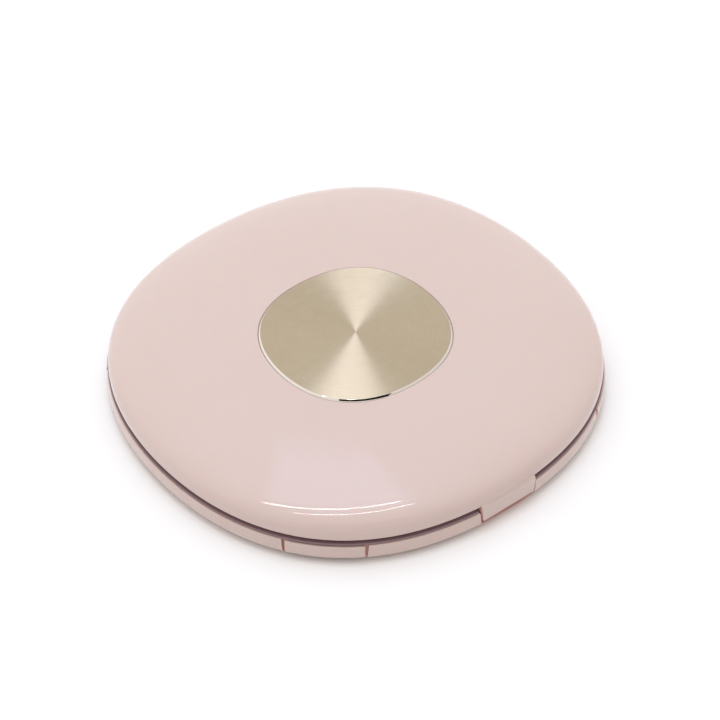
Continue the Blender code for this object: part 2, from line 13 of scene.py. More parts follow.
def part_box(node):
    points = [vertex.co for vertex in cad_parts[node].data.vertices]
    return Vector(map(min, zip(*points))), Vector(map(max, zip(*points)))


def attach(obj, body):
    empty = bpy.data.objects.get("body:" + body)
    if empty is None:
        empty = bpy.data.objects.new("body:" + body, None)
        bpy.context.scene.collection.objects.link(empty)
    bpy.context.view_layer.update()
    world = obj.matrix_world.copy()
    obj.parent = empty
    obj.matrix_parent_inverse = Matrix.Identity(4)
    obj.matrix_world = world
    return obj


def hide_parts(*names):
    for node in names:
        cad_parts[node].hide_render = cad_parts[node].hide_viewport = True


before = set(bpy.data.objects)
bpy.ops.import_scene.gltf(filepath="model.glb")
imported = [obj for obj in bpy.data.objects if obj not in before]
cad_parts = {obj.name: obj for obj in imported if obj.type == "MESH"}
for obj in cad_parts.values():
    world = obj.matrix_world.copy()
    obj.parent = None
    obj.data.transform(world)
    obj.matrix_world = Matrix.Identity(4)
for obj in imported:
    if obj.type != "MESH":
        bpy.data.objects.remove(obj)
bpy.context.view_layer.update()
MM = 0.001


def levels(node):
    """The lowest and highest z of one of the frame's nodes, in millimetres."""
    return [round(corner.z / MM, 3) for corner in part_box(node)]


def middle(node):
    """The middle of the box round one of the frame's nodes, in millimetres."""
    low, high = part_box(node)
    return [round(value / MM, 3) for value in (low + high) / 2]


GAP = 0.3  # between pieces that touch
OVERLAP = 0.3  # how far a joined block runs into what it joins
BELOW, ABOVE, BEYOND = -1.0, 7.0, 48.0  # past the whole base, for cutters
WIDE_SLACK, SLACK, TIGHT_SLACK = 0.1, 0.05, 0.01  # allowed when a face is told by its place
MOSTLY, HALF, SLIGHTLY = 0.7, 0.5, 0.2  # shares of a face's normal, to tell which way it looks

# Plan outline, the same as the frame's: a mean radius shaped by two waves round the centre.
PLAN_OVAL = 0.0095
PLAN_SQUARE = 0.020
SHELL_STEPS = 240  # round the outer shells
INNER_STEPS = 144  # round what lies inside

# Lid
LID_RADIUS = 42.45
LID_EDGE_Z = 5.0
LID_RISE = 5.8
LID_WALL = 1.2
LID_INNER = LID_RADIUS - LID_WALL
CEILING_RISE = 4.6
DOME_POWER = 3.6
DOME_CROWDING = 1.4  # over 1, which puts a dome's points closer together towards its edge
DOME_POINTS, CEILING_POINTS = 56, 28
EDGE_ROUND = 0.35
EDGE_CLEAR = 0.02  # between the edge's rounding and the dome's lowest point
INNER_EDGE_ROUND = 0.1
RECESS_Z = 9.5
LIP_GAP = 0.04  # between the medallion and the rounded lip of its recess
LIP_ROUND = 0.2
LIP_REACH = 0.4  # from the medallion to the dome's innermost point
BOSS_RADIUS = 18.6
BOSS_Z = 8.2
RIB = (37.3, 37.9)
RIB_Z = 6.6
RIB_ROOT_ROUND, RIB_TOP_ROUND = 0.15, 0.12
RIB_SPACE = 0.2  # without points on either side of the rib

# Medallion
MEDALLION_RADIUS = 16.6
MEDALLION_Z = levels("medallion")
CHAMFER_SIZE = 0.34
CHAMFER_NORMAL_Z = (0.15, 0.97)  # a face is the chamfer's when its normal's z is between these

# Mixing plate
PLATE_RADIUS = 37.0
PLATE_Z = levels("mixing_plate")
PLATE_EDGE = 0.3
PLATE_RINGS = 110
WELL_RADIUS = 8.5
WELL_DEPTH = 0.6
WELL_SLOPE = 2.4  # how wide each well's sloping side is
WELL_CIRCLE = 22.0
WELL_TURN = 45  # degrees from the hinge direction to the first outer well
OUTER_WELLS = 4

# Base. Its rim, the clips and the lid's tab stand up to 0.12 mm proud of the frame's, inside the
# object's box, so that the gaps round them are as narrow as they look.
BASE_Z, FRAME_RIM_Z = levels("base_shell")
FLOOR_Z = 1.2
PROUD = 0.08  # of the frame's rim and clips
RIM_Z = FRAME_RIM_Z + PROUD
RIM_RADIUS = 42.71
BELLY_RADIUS = 42.85
BELLY_Z = 1.9
BELLY_TOP_Z = 2.4
BELLY_POINTS = 15
WALL_INNER = 41.45

# Hinge
_, HINGE_Y, HINGE_Z = middle("hinge_pin")
HINGE = (0.0, HINGE_Y, HINGE_Z)
BARREL_RADIUS = 1.5
PIN_BORE = 0.7
PIN_BORE_HALF = 8.5
TAB_FACE_Y = HINGE_Y + BARREL_RADIUS
TAB_BOTTOM_Z = 1.78
TAB_HALF_TOP = 5.8
TAB_HALF_BOTTOM = 5.5
TAB_CHAMFER = 0.2
TAB_SHOULDER = (0.4, 0.5)
TAB_ROOT = ((40.2, 6.2), (39.6, 5.6), (39.0, 4.3))
TAB_FRONT_Y = HINGE_Y - 1.0
NOTCH_HALF_TOP = 6.05
NOTCH_HALF_BOTTOM = 5.8
NOTCH_FRONT_Y = 37.9
SWEEP_RADIUS = 2.25
BOSS_END_X = 9.2
BOSS_Y = (38.0, 40.3)
BOSS_TOP_Z = 3.7

# Deck
DECK_INNER = 37.4
DECK_OUTER = 42.55
DECK_Z = (4.0, 4.4)
COLLAR = (40.3, 40.9)
SKIRT_Z, COLLAR_Z = levels("inner_deck")
SKIRT = (40.2, 41.15)
SKIRT_CLEAR_Y = 35.0  # the skirt stops here on its way to the hinge and to the button
BUTTON_CLEAR_X = 7.5
DECK_NOTCH_Y = 38.1

# Corner clips
CLIP_ANGLE = 44.9
CLIP_HALF = 8.8
CLIP_SLOT_HALF = 9.2
CLIP_SLOT_FLARE = 0.1  # how much wider each groove gets in a millimetre upwards
WEDGE_FROM = 30.0  # where the wedges that share out a ring start
CLIP_INNER = 42.3
CLIP_OUTER = BELLY_RADIUS
CLIP_SLOT_RADIUS = 42.0
CLIP_TOP_Z = levels("corner_clip_rear_right")[1] + PROUD
CLIP_BELLY_POINTS = 11
PEG_WIDTH = 5.0
PEG_Z = (1.9, 3.1)
PEG_REACH = (40.6, 43.5)
PEG_ROOM = 1.0  # left behind each peg

# Tray and what lies in it
TRAY_RADIUS = 37.0
TRAY_INNER = 36.2
TRAY_BOTTOM_Z, TRAY_LIP_Z = levels("water_tray")
TRAY_FLOOR_Z = 2.3
TRAY_FLANGE = 38.6
TRAY_FLANGE_Z = (4.7, 5.3)
TRAY_LIP = 36.7
SPONGE_RADIUS = 35.7
SPONGE_Z = levels("sponge")
SPONGE_EDGE = 0.5
SPONGE_RINGS = 60
SPONGE_RIPPLES = ((0.12, 5.0), (0.06, 1.2))  # the height and the size of each kind
PAPER_RADIUS = 35.8
PAPER_Z = levels("palette_paper")
PAPER_EDGE = 0.05
PAPER_RINGS = 48
PAPER_WAVES = (0.1, 9.0)  # their height and size
PAPER_SHIFT = (3, 1, 0)  # where in the noise the waves are taken from
SEAL = (37.0, 38.3)
SEAL_Z = levels("seal_ring")

# Catch, button opening and feet
CATCH_HALF = 2.6
CATCH_Y = (-39.7, -39.1)
CATCH_BOTTOM_Z = 1.9
CATCH_ROOT_Z = 7.8
NOSE_Y = -38.6
NOSE_Z = 2.5
CATCH_ROOM = (0.5, 0.9)  # left in the deck beside the catch, and for its nose to pass
OPENING_HALF = 5.95
OPENING_Z = 0.95
POST_X = (4.3, 5.8)
POST_Y = (-38.9, -38.3)
POST_TOP_Z = 3.5
POCKET_RADIUS = 2.8
POCKET_Z = 0.75
FOOT_REACH = 31.0

# The photographer's place: the camera looks at the medallion from behind the case, a little
# to the right of the hinge, and frames it a little above the picture's centre.
VIEW_CENTRE_Z = 10.7
VIEW_AZIMUTH = 141.9
VIEW_ELEVATION = 43.97
VIEW_DISTANCE = 0.4517
LENS = 130.0
SENSOR_WIDTH = 36.0
CLIPPING = (0.01, 20.0)
AIM_RIGHT = 0.76
AIM_DOWN = 4.69

# Studio, in metres to the right of the camera's user, away from them and up. Each strip light has
# its two ends and its watts. The card darkens what a polished edge shows the camera.
FLOOR_SIZE = 6.0
STRIP_HEIGHT = 1.0
STRIP_WIDTH = 0.022
STRIPS = {
    "strip_far": ((-0.348, 0.030), (0.156, 0.211), 1.1),
    "strip_near": ((-0.239, -0.098), (0.236, 0.086), 0.95),
}
CARD_PLACE = (0.10, -0.32, 0.345)
CARD_SIZE = (0.46, 0.10)
CARD_COLOUR = (0.006, 0.004, 0.004)

# The white tent is brightest up and away to the left of the camera, and has a soft-edged panel in
# its roof, from overhead to the far side. The panel's sides run together towards the direction
# that a level mirror shows the camera.
TENT_BRIGHTEST = (-0.35, 0.50, 0.80)
TENT_SPAN = (-0.70, 0.80)
TENT_DIM = (0.76, 0.68, 0.63)
TENT_BRIGHT = (1.18, 1.165, 1.14)
PANEL_RIGHT = -0.03
PANEL_SIDES = (0.46, 0.36)
PANEL_NEAR = (0.0, 0.36)
PANEL_FAR = (0.66, 0.56)
PANEL_GLOW = (2.45, 2.85, 3.9)


# ------------------------------------------------------------------ mesh helpers


def new_object(name, data):
    made = bpy.data.objects.new(name, data)
    bpy.context.scene.collection.objects.link(made)
    return made


def finished(builder, name="solid"):
    """The builder's mesh, with its normals outwards."""
    mesh = bpy.data.meshes.new(name)
    bmesh.ops.recalc_face_normals(builder, faces=builder.faces)
    builder.to_mesh(mesh)
    builder.free()
    return mesh


def smooth(thing, angle=32):
    """Shades the object smoothly, apart from edges sharper than angle."""
    thing.data.shade_smooth()
    thing.data.set_sharp_from_angle(angle=math.radians(angle))
    return thing


def applied(thing):
    """Makes the object's modifiers part of its mesh."""
    bpy.context.view_layer.update()
    graph = bpy.context.evaluated_depsgraph_get()
    mesh = bpy.data.meshes.new_from_object(thing.evaluated_get(graph))
    thing.modifiers.clear()
    thing.data = mesh
    return thing


def combined(thing, operation, tools):
    """Joins the tools to the object, or cuts them from it, one Boolean each."""
    for tool in tools:
        change = thing.modifiers.new("combine", "BOOLEAN")
        change.operation = operation
        change.object = tool
    applied(thing)
    for tool in tools:
        bpy.data.objects.remove(tool)
    return thing


def soft_edges(thing, width, angle):
    """A narrow rounded bevel along every edge sharper than angle."""
    bevel = thing.modifiers.new("soft_edges", "BEVEL")
    bevel.width = width * MM
    bevel.segments = 3
    bevel.limit_method = "ANGLE"
    bevel.angle_limit = math.radians(angle)
    bevel.harden_normals = False
    return applied(thing)


def plan_factor(angle):
    """The outline's radius over its mean radius, by the angle from the hinge direction."""
    return 1.0 - PLAN_OVAL * math.cos(2 * angle) - PLAN_SQUARE * math.cos(4 * angle)


def on_ray(angle, reach):
    """The place at a distance from the centre, by the angle from the hinge direction."""
    return reach * math.sin(angle), reach * math.cos(angle)


def plan_radius(x, y):
    """The plan radius, in the frame's sense, of a point given in millimetres."""
    return math.hypot(x, y) / plan_factor(math.atan2(x, y))


def rounded(corners, ring=False, arc_points=5):
    """A profile of (radius, z) from corners of (radius, z) or (radius, z, rounding).

    The rounding is how far from the corner its curve starts.
    """
    profile = []
    count = len(corners)
    for index, (radius, z, *rest) in enumerate(corners):
        corner = Vector((radius, z))
        if not rest or (not ring and index in (0, count - 1)):
            profile.append((radius, z))
            continue
        before = Vector(corners[index - 1][:2])
        after = Vector(corners[(index + 1) % count][:2])
        start = corner + (before - corner).normalized() * rest[0]
        end = corner + (after - corner).normalized() * rest[0]
        for step in range(arc_points + 1):
            share = step / arc_points
            near = start.lerp(corner, share)
            far = corner.lerp(end, share)
            profile.append(tuple(near.lerp(far, share)))
    return profile


def lathe(name, profile, steps=INNER_STEPS, ring=False):
    """A profile turned about Z in the plan outline.

    A profile that is no ring starts and ends on the axis.
    """
    builder = bmesh.new()
    rows = []
    for radius, z in profile:
        if radius == 0.0:
            rows.append([builder.verts.new((0.0, 0.0, z * MM))] * steps)
            continue
        row = []
        for step in range(steps):
            angle = 2 * math.pi * step / steps
            x, y = on_ray(angle, radius * plan_factor(angle) * MM)
            row.append(builder.verts.new((x, y, z * MM)))
        rows.append(row)
    pairs = list(zip(rows, rows[1:]))
    if ring:
        pairs.append((rows[-1], rows[0]))
    for upper, lower in pairs:
        for step in range(steps):
            after = (step + 1) % steps
            loop = [upper[step], upper[after], lower[after], lower[step]]
            face = list(dict.fromkeys(loop))
            if len(face) > 2:
                builder.faces.new(face)
    return new_object(name, finished(builder, name))


def box(low, high, turn=0.0):
    """A block between two corners, turned about the axis of the case."""
    low, high = Vector(low) * MM, Vector(high) * MM
    builder = bmesh.new()
    bmesh.ops.create_cube(builder, size=1.0)
    bmesh.ops.scale(builder, vec=high - low, verts=builder.verts)
    bmesh.ops.translate(builder, vec=(low + high) / 2, verts=builder.verts)
    made = new_object("box", finished(builder))
    made.rotation_euler.z = turn
    return made


def rod(radius, half_length, centre, segments=48, axis="Z"):
    """A cylinder along Z or X."""
    turn = Matrix.Rotation(math.pi / 2, 4, "Y") if axis == "X" else Matrix()
    builder = bmesh.new()
    bmesh.ops.create_cone(
        builder,
        cap_ends=True,
        segments=segments,
        radius1=radius * MM,
        radius2=radius * MM,
        depth=2 * half_length * MM,
        matrix=Matrix.Translation(Vector(centre) * MM) @ turn,
    )
    return new_object("rod", finished(builder))


def prism(near, far):
    """A solid between two outlines of the same number of points, given in millimetres."""
    builder = bmesh.new()
    first = [builder.verts.new(Vector(point) * MM) for point in near]
    second = [builder.verts.new(Vector(point) * MM) for point in far]
    builder.faces.new(first)
    builder.faces.new(second[::-1])
    count = len(near)
    for index in range(count):
        after = (index + 1) % count
        builder.faces.new((first[index], second[index], second[after], first[after]))
    return new_object("prism", finished(builder))


def sector(half_angle, turn, flare=0.0):
    """A wedge about the +Y direction, wider by flare a millimetre upwards, turned by an angle."""
    slope = math.tan(math.radians(half_angle))
    outlines = []
    for z in (BELOW, ABOVE):
        grown = flare * (z - BASE_Z)
        near, far = [y * slope + grown for y in (WEDGE_FROM, BEYOND)]
        view = [(-near, WEDGE_FROM), (near, WEDGE_FROM), (far, BEYOND), (-far, BEYOND)]
        outlines.append([(x, y, z) for x, y in view])
    made = prism(*outlines)
    made.rotation_euler.z = turn
    return made


def case_corners():
    """The four corners, by name and by angle from the hinge direction."""
    return (
        ("rear_right", math.radians(CLIP_ANGLE)),
        ("front_right", math.radians(180 - CLIP_ANGLE)),
        ("front_left", math.radians(180 + CLIP_ANGLE)),
        ("rear_left", math.radians(-CLIP_ANGLE)),
    )


def window(angle):
    """What the wall and the deck leave free for a clip's peg."""
    low = (-PEG_WIDTH / 2 - GAP, PEG_REACH[0] - PEG_ROOM, PEG_Z[0] - GAP)
    high = (PEG_WIDTH / 2 + GAP, PEG_REACH[1], PEG_Z[1] + GAP)
    return box(low, high, turn=-angle)


# ------------------------------------------------------------------ material helpers


def opaque(colour):
    """The colour with full alpha."""
    return (*colour, 1.0)


class Nodes:
    """Short ways to add to a node tree. A node's input is a value or another node's output."""

    def __init__(self, tree):
        self.tree = tree

    def node(self, kind, inputs=None, **settings):
        made = self.tree.nodes.new(kind)
        for key, value in settings.items():
            setattr(made, key, value)
        for key, value in (inputs or {}).items():
            if isinstance(value, bpy.types.NodeSocket):
                self.tree.links.new(value, made.inputs[key])
            else:
                made.inputs[key].default_value = value
        return made

    def calculated(self, operation, first, second=0.0):
        inputs = {0: first, 1: second}
        return self.node("ShaderNodeMath", inputs, operation=operation).outputs[0]

    def mixed(self, share, first, second):
        """A colour that goes from the first to the second as share goes from 0 to 1."""
        inputs = {0: share, 6: first, 7: second}
        return self.node("ShaderNodeMix", inputs, data_type="RGBA").outputs[2]


class Finish(Nodes):
    """A Principled material. Its textures lie in the object's own coordinates."""

    def __init__(self, name, roughness, **constants):
        self.material = bpy.data.materials.new(name)
        self.material.use_nodes = True
        super().__init__(self.material.node_tree)
        self.shader = self.tree.nodes["Principled BSDF"]
        self.shader.inputs["Roughness"].default_value = roughness
        for key, value in constants.items():
            self.shader.inputs[key.replace("_", " ")].default_value = value
        self.place = self.node("ShaderNodeTexCoord").outputs["Object"]

    def stretched(self, scale):
        """The object's coordinates, multiplied by a scale for each axis."""
        return self.node("ShaderNodeMapping", {"Vector": self.place, "Scale": scale}).outputs[0]

    def clouds(self, size, detail=3.0, place=None):
        """Noise whose features are about size millimetres across."""
        inputs = {"Vector": place or self.place, "Scale": 1.0 / (size * MM), "Detail": detail}
        return self.node("ShaderNodeTexNoise", inputs).outputs["Fac"]

    def cells(self, size):
        """How far a place is from the nearest cell's middle, in cells of about this size."""
        inputs = {"Vector": self.place, "Scale": 1.0 / (size * MM)}
        return self.node("ShaderNodeTexVoronoi", inputs).outputs["Distance"]

    def fade(self, value, low, high, from_low=0.3, from_high=0.7):
        """The value, stretched from one range to another."""
        inputs = {0: value, 1: from_low, 2: from_high, 3: low, 4: high}
        return self.node("ShaderNodeMapRange", inputs).outputs[0]

    def shades(self, value, dark, light):
        """A colour between dark and light, laid on the shader."""
        colour = self.mixed(value, opaque(dark), opaque(light))
        self.tree.links.new(colour, self.shader.inputs["Base Color"])

    def roughened(self, value):
        self.tree.links.new(value, self.shader.inputs["Roughness"])

    def bumped(self, *layers, coat=False):
        """Layers of (height, depth in millimetres), one over the other."""
        normal = None
        for height, depth in layers:
            inputs = {"Height": height, "Distance": depth * MM, "Strength": 1.0}
            if normal:
                inputs["Normal"] = normal
            normal = self.node("ShaderNodeBump", inputs).outputs[0]
        self.tree.links.new(normal, self.shader.inputs["Normal"])
        if coat:
            self.tree.links.new(normal, self.shader.inputs["Coat Normal"])


# ------------------------------------------------------------------ materials

# How far red, green and blue light goes under the surface of the rose pieces, as shares of the
# depth in metres.
DEPTHS = (1.0, 0.35, 0.25)
DEPTH_SCALE = 0.5 * MM


def rose_lacquer():
    made = Finish(
        "rose_lacquer",
        0.4,
        Coat_Weight=1.0,
        Coat_Roughness=0.025,
        Coat_IOR=1.33,
        Specular_IOR_Level=0.3,
        Subsurface_Weight=0.35,
        Subsurface_Radius=DEPTHS,
        Subsurface_Scale=DEPTH_SCALE,
    )
    made.shades(made.clouds(14.0), (0.569, 0.449, 0.416), (0.585, 0.465, 0.432))
    made.roughened(made.fade(made.clouds(2.0), 0.36, 0.44))
    made.bumped((made.clouds(2.4, detail=1.0), 0.0002), coat=True)
    return made.material


def rose_moulding():
    made = Finish("rose_moulding", 0.45)
    made.shades(made.clouds(9.0), (0.59, 0.455, 0.425), (0.625, 0.485, 0.455))
    made.roughened(made.fade(made.clouds(0.8), 0.38, 0.52))
    made.bumped((made.clouds(0.16, detail=2.0), 0.006))
    return made.material


def rose_gap_shade():
    """A redder rose than the lacquer, for faces inside narrow gaps: painted shade, standing in for
    the reddened light that bounces round a gap.
    """
    made = Finish(
        "rose_gap_shade",
        0.5,
        Subsurface_Weight=0.3,
        Subsurface_Radius=DEPTHS,
        Subsurface_Scale=DEPTH_SCALE,
    )
    made.shades(made.clouds(5.0), (0.66, 0.42, 0.38), (0.72, 0.48, 0.44))
    made.roughened(made.fade(made.clouds(0.8), 0.42, 0.58))
    made.bumped((made.clouds(0.16, detail=2.0), 0.004))
    return made.material


# The deck's dark plum is partly its own colour and partly painted shade: it is kept dark so that the
# band in the gap under the lid's edge shows as shade.
def plum_moulding():
    made = Finish("plum_moulding", 0.5)
    made.shades(made.clouds(6.0), (0.190, 0.112, 0.125), (0.235, 0.140, 0.155))
    made.roughened(made.fade(made.clouds(0.7), 0.42, 0.56))
    made.bumped((made.clouds(0.14, detail=2.0), 0.006))
    return made.material


def ring_lines(made, size):
    """Noise that changes only with the distance from the centre: rings about size mm wide."""
    axes = made.node("ShaderNodeSeparateXYZ", {0: made.place}).outputs
    squares = [made.calculated("MULTIPLY", axis, axis) for axis in axes[:2]]
    reach = made.calculated("SQRT", made.calculated("ADD", *squares))
    inputs = {"W": reach, "Scale": 1.0 / (size * MM), "Detail": 3.0}
    return made.node("ShaderNodeTexNoise", inputs, noise_dimensions="1D").outputs["Fac"]


def spun_aluminium():
    """Metal turned on a lathe: it shines along its radii, and fine lines run round it."""
    made = Finish("spun_aluminium", 0.38, Metallic=1.0, Anisotropic=1.0, Anisotropic_Rotation=0.25)
    lines = made.calculated("MULTIPLY", ring_lines(made, 0.25), made.clouds(2.0))
    shine = made.fade(lines, 0.0, 1.0, 0.1, 0.4)
    made.shades(shine, (0.468, 0.390, 0.282), (0.532, 0.447, 0.325))
    made.roughened(made.fade(lines, 0.35, 0.41, 0.1, 0.4))
    tangent = made.node("ShaderNodeTangent", direction_type="RADIAL", axis="Z")
    made.tree.links.new(tangent.outputs[0], made.shader.inputs["Tangent"])
    made.bumped((lines, 0.008))
    return made.material


def cut_chamfer():
    made = Finish("cut_chamfer", 0.06, Metallic=1.0)
    lines = ring_lines(made, 0.03)
    made.shades(lines, (0.70, 0.65, 0.60), (0.78, 0.73, 0.68))
    made.roughened(made.fade(lines, 0.04, 0.09))
    return made.material


def white_plate():
    made = Finish("white_plate", 0.25, Coat_Weight=0.3)
    made.shades(made.clouds(11.0), (0.66, 0.66, 0.645), (0.72, 0.72, 0.705))
    scratches = made.clouds(0.5, place=made.stretched((1.0, 14.0, 1.0)))
    made.roughened(made.fade(scratches, 0.18, 0.34))
    made.bumped((scratches, 0.0008))
    return made.material


def plum_silicone():
    made = Finish("plum_silicone", 0.6, Sheen_Weight=0.15)
    made.shades(made.clouds(3.0), (0.12, 0.06, 0.078), (0.16, 0.085, 0.105))
    made.roughened(made.fade(made.clouds(0.5), 0.5, 0.7))
    made.bumped((made.clouds(0.25), 0.01))
    return made.material


def steel():
    made = Finish("drawn_steel", 0.25, Metallic=1.0)
    drawn = made.clouds(0.06, place=made.stretched((0.04, 1.0, 1.0)))
    made.shades(drawn, (0.50, 0.50, 0.51), (0.62, 0.62, 0.63))
    made.roughened(made.fade(drawn, 0.18, 0.34))
    made.bumped((drawn, 0.001))
    return made.material


def cellulose_sponge():
    made = Finish("cellulose_sponge", 0.95, Sheen_Weight=0.2)
    pores = made.cells(1.1)
    fine = made.cells(0.35)
    # Darker towards each pore's middle, where the bump sinks: painted shade in the pores.
    made.shades(made.fade(pores, 0.0, 1.0, 0.1, 0.6), (0.55, 0.44, 0.20), (0.84, 0.74, 0.45))
    made.roughened(made.fade(fine, 0.85, 1.0))
    made.bumped((pores, 0.30), (fine, 0.08), (made.clouds(4.0), 0.15))
    return made.material


def palette_paper():
    made = Finish("palette_paper", 0.6)
    fibres = made.clouds(0.35, detail=5.0, place=made.stretched((1.0, 0.35, 1.0)))
    made.shades(made.fade(fibres, 0.0, 1.0), (0.62, 0.595, 0.52), (0.72, 0.70, 0.635))
    made.roughened(made.fade(fibres, 0.5, 0.7))
    made.bumped((fibres, 0.03), (made.clouds(6.0), 0.12))
    return made.material


def grey_rubber():
    made = Finish("grey_rubber", 0.8)
    made.shades(made.clouds(1.5), (0.20, 0.195, 0.195), (0.27, 0.26, 0.26))
    made.roughened(made.fade(made.clouds(0.4), 0.7, 0.9))
    made.bumped((made.clouds(0.2), 0.01))
    return made.material


def tissue_tape():
    made = Finish("tissue_tape", 0.7)
    weave = made.clouds(0.2, detail=4.0, place=made.stretched((1.0, 0.4, 1.0)))
    made.shades(weave, (0.66, 0.65, 0.61), (0.78, 0.77, 0.73))
    made.roughened(made.fade(weave, 0.6, 0.8))
    made.bumped((weave, 0.01))
    return made.material


def floor_paper():
    made = Finish("floor_paper", 0.9)
    made.shades(made.clouds(40.0), (0.845, 0.845, 0.845), (0.855, 0.855, 0.855))
    return made.material


ROSE = rose_lacquer()
ROSE_INSIDE = rose_moulding()
ROSE_GAP_SHADE = rose_gap_shade()
PLUM_AND_GAP_SHADE = plum_moulding()
SPUN = spun_aluminium()
CHAMFER = cut_chamfer()
WHITE = white_plate()
SILICONE = plum_silicone()
STEEL = steel()
SPONGE = cellulose_sponge()
PAPER = palette_paper()
RUBBER = grey_rubber()
TAPE = tissue_tape()


def paint(thing, *finishes):
    thing.data.materials.clear()
    for finish in finishes:
        thing.data.materials.append(finish)


def share_finishes(thing, choose):
    """Gives each face the finish whose index choose returns for its centre and its normal.

    The centre is in millimetres.
    """
    for face in thing.data.polygons:
        face.material_index = choose(face.center / MM, face.normal)


def stand_in(thing, body, slot, *nodes):
    """The piece rides on the body and is shown in place of the frame's nodes."""
    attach(thing, body)
    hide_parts(*nodes)


# ------------------------------------------------------------------ lid


def dome(radius, rise, plan):
    """Height above the lid's edge of the domed surface that meets the edge at radius."""
    return rise * (1.0 - (plan / radius) ** DOME_POWER) ** (1.0 / DOME_POWER)


def dome_points(radius, rise, innermost, count):
    """Points of a dome from just inside its rim up to the innermost plan radius."""
    last = math.acos((innermost / radius) ** (DOME_POWER / 2))
    points = []
    for step in range(1, count + 1):
        angle = last * (step / count) ** DOME_CROWDING
        plan = radius * math.cos(angle) ** (2 / DOME_POWER)
        points.append((plan, LID_EDGE_Z + dome(radius, rise, plan)))
    return points


def ceiling_z(plan):
    return LID_EDGE_Z + dome(LID_INNER, CEILING_RISE, plan)


def lid_profile():
    """The lid's section: its recess, its domed top, its edge, then its inside with rib and boss."""
    innermost = MEDALLION_RADIUS + LIP_REACH
    edge_top = LID_EDGE_Z + EDGE_ROUND + EDGE_CLEAR
    outer = [
        point
        for point in reversed(dome_points(LID_RADIUS, LID_RISE, innermost, DOME_POINTS))
        if point[1] > edge_top
    ]
    lip_radius = MEDALLION_RADIUS + LIP_GAP
    lip = (lip_radius, LID_EDGE_Z + dome(LID_RADIUS, LID_RISE, lip_radius), LIP_ROUND)
    recess = rounded([(0.0, RECESS_Z), (lip_radius, RECESS_Z), lip, outer[0]])[:-1]
    edge_corners = [
        outer[-1],
        (LID_RADIUS, LID_EDGE_Z, EDGE_ROUND),
        (LID_INNER, LID_EDGE_Z, INNER_EDGE_ROUND),
        (LID_INNER, RIB_Z),
    ]
    edge = rounded(edge_corners, arc_points=6)[1:-1]
    ceiling = dome_points(LID_INNER, CEILING_RISE, BOSS_RADIUS, CEILING_POINTS)
    before_rib = [point for point in ceiling if point[0] > RIB[1] + RIB_SPACE]
    after_rib = [point for point in ceiling if point[0] < RIB[0] - RIB_SPACE]
    rib_corners = [
        before_rib[-1],
        (RIB[1], ceiling_z(RIB[1]), RIB_ROOT_ROUND),
        (RIB[1], RIB_Z, RIB_TOP_ROUND),
        (RIB[0], RIB_Z, RIB_TOP_ROUND),
        (RIB[0], ceiling_z(RIB[0]), RIB_ROOT_ROUND),
        after_rib[0],
    ]
    rib = rounded(rib_corners, arc_points=3)[1:-1]
    boss = [(BOSS_RADIUS, BOSS_Z), (0.0, BOSS_Z)]
    return recess + outer + edge + before_rib + rib + after_rib + boss


def tab_half(z):
    share = (z - TAB_BOTTOM_Z) / (LID_EDGE_Z - TAB_BOTTOM_Z)
    return TAB_HALF_BOTTOM + (TAB_HALF_TOP - TAB_HALF_BOTTOM) * min(share, 1.0)


def lid_tab():
    """The tab that reaches from the lid's edge down over the hinge."""
    shoulder_y, shoulder_z = TAB_SHOULDER
    side_view = [
        (TAB_FACE_Y, TAB_BOTTOM_Z + TAB_CHAMFER),
        (TAB_FACE_Y, LID_EDGE_Z),
        (TAB_FACE_Y - shoulder_y, LID_EDGE_Z + shoulder_z),
        *TAB_ROOT,
        (HINGE_Y, HINGE_Z),
        (HINGE_Y + TAB_CHAMFER, TAB_BOTTOM_Z),
        (TAB_FACE_Y - TAB_CHAMFER, TAB_BOTTOM_Z),
    ]
    near = [(-tab_half(z), y, z) for y, z in side_view]
    far = [(tab_half(z), y, z) for y, z in side_view]
    return soft_edges(prism(near, far), width=0.12, angle=50)


def lid_finish(centre, normal):
    """0 for the lid's outside, 1 for its inside, and 2, the painted gap shade, for the tab's sides
    and underside.
    """
    on_tab = centre.y > TAB_FRONT_Y and centre.z < LID_EDGE_Z
    if on_tab and (abs(normal.x) > MOSTLY or normal.z < -MOSTLY):
        return 2
    within = plan_radius(centre.x, centre.y) < LID_INNER + TIGHT_SLACK
    return int(within and centre.z > LID_EDGE_Z + SLACK and normal.z < SLIGHTLY)


def make_lid():
    lid = lathe("lid", lid_profile(), SHELL_STEPS)
    low, high = CATCH_Y
    stem = box((-CATCH_HALF, low, CATCH_BOTTOM_Z), (CATCH_HALF, high, CATCH_ROOT_Z))
    nose = box((-CATCH_HALF, high - OVERLAP, CATCH_BOTTOM_Z), (CATCH_HALF, NOSE_Y, NOSE_Z))
    barrel = rod(BARREL_RADIUS, TAB_HALF_BOTTOM, HINGE, axis="X")
    combined(lid, "UNION", [lid_tab(), barrel, stem, nose])
    combined(lid, "DIFFERENCE", [rod(PIN_BORE, 2 * TAB_HALF_BOTTOM, HINGE, 32, "X")])
    paint(lid, ROSE, ROSE_INSIDE, ROSE_GAP_SHADE)
    share_finishes(lid, lid_finish)
    stand_in(smooth(lid), "lid", "rose_lacquer", "lid_shell")


def make_medallion():
    low, high = MEDALLION_Z
    top = (MEDALLION_RADIUS - CHAMFER_SIZE, high, 0.02)
    side_top = (MEDALLION_RADIUS, high - CHAMFER_SIZE, 0.03)
    side_bottom = (MEDALLION_RADIUS, low, 0.05)
    profile = rounded([(0.0, high), top, side_top, side_bottom, (0.0, low)], arc_points=3)
    medallion = lathe("medallion_disc", profile, SHELL_STEPS)
    paint(medallion, SPUN, CHAMFER)
    least, most = CHAMFER_NORMAL_Z
    share_finishes(medallion, lambda centre, normal: int(least < normal.z < most))
    smooth(medallion, angle=12)
    stand_in(medallion, "lid", "champagne_aluminium", "medallion")


